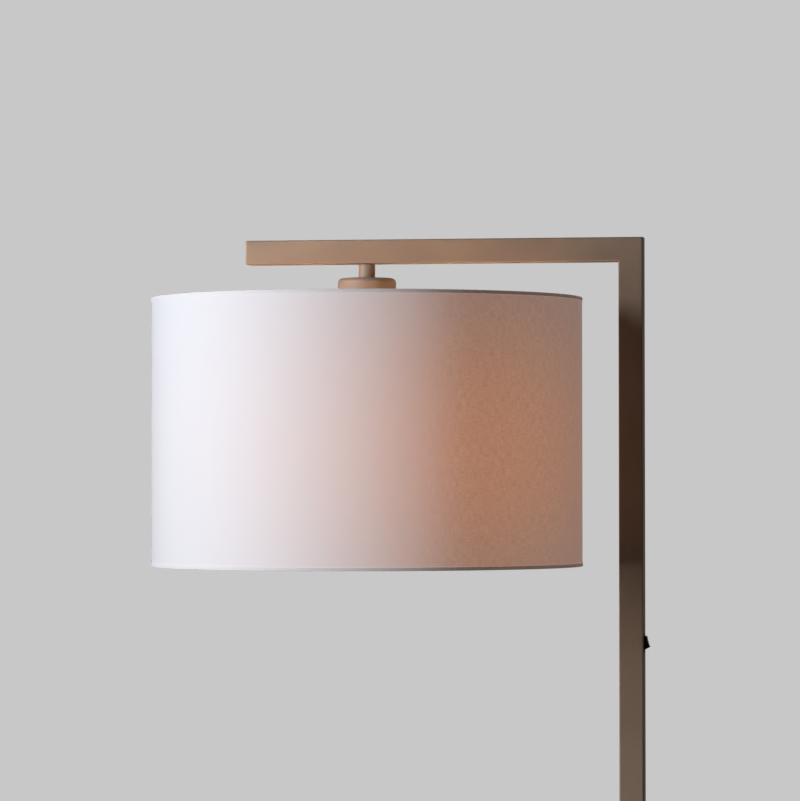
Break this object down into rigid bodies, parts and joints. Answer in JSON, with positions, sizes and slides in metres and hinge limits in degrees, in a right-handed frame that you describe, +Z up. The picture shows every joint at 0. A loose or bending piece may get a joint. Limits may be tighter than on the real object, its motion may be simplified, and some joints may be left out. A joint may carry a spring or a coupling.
{
  "type": "arm floor lamp",
  "caption": "Free-standing lamp: a square tube post on a weighted base turns into a level arm, with a fabric drum shade under the arm and a rocker switch on the post.",
  "frame": {"origin": "centre of the base's underside, on the floor", "axes": "+Z up; the post stands towards +X and the arm runs level towards -X; the switch faces +X; the front is -Y"},
  "size_m": [0.5357, 0.4518, 1.55],
  "materials": {
    "bronze": "satin bronze lacquer",
    "cast_iron": "as cast",
    "zinc": "zinc plated",
    "brass": "plain",
    "black_plastic": "fine texture",
    "white_plastic": "plain",
    "foam": "soft foam sheet",
    "cotton": "plain woven, off-white",
    "liner": "translucent film",
    "opal_glass": "opal",
    "white_enamel": "white enamel",
    "brown_sheath": "lead insulation",
    "blue_sheath": "lead insulation",
    "green_sheath": "lead insulation"
  },
  "bodies": {
    "stand": {"base_pad": "foam", "base_plate": "zinc", "base_weight": "cast_iron", "base_cover": "bronze", "terminal_block": "white_plastic", "earth_screw": "brass", "cable_bush": "black_plastic", "plate_screw_1": "zinc", "plate_screw_2": "zinc", "plate_screw_3": "zinc", "plate_screw_4": "zinc", "foot_washer": "zinc", "foot_nut": "zinc", "foot_nipple": "zinc", "foot_plug": "zinc", "lower_post": "bronze", "post_joiner": "zinc", "joiner_screw_lower": "zinc", "joiner_screw_upper": "zinc", "arm_frame": "bronze", "arm_end_plug": "bronze", "lead_live_feed": "brown_sheath", "lead_live_switched": "brown_sheath", "lead_neutral": "blue_sheath", "lead_earth": "green_sheath", "arm_washer": "zinc", "arm_nut": "zinc", "stem_sleeve": "bronze", "stem_nipple": "zinc", "holder_cup": "bronze", "cup_nut": "zinc", "holder_cap": "black_plastic", "holder_body": "black_plastic", "holder_core": "white_plastic", "holder_shell": "brass", "holder_contact": "brass", "shade_ring_upper": "black_plastic", "shade_ring_lower": "black_plastic", "shade_fitter": "white_enamel", "shade_bottom_ring": "white_enamel", "shade_liner": "liner", "shade_fabric": "cotton", "shade_top_trim": "cotton", "shade_bottom_trim": "cotton", "bulb_contact": "zinc", "bulb_insulator": "black_plastic", "bulb_shell": "zinc", "bulb_collar": "white_plastic", "bulb_globe": "opal_glass", "switch_housing": "black_plastic", "switch_feed_blade": "brass", "switch_load_blade": "brass"},
    "rocker": {"switch_rocker": "black_plastic", "switch_plunger": "brass", "switch_spring": "zinc"},
    "bridge": {"switch_bridge": "brass"}
  },
  "joints": [
    {"name": "rocker_pivot", "type": "hinge", "parent": "stand", "child": "rocker", "pos_m": [0.1299, 0, 1.13], "axis": [0, 1, 0], "range_deg": [0, 30]},
    {"name": "bridge_pivot", "type": "hinge", "parent": "stand", "child": "bridge", "pos_m": [0.1231, 0, 1.13], "axis": [0, 1, 0], "range_deg": [-12, 0]}
  ],
  "couplings": [
    {"joint": "bridge_pivot", "follows": "rocker_pivot", "ratio": -0.4}
  ]
}
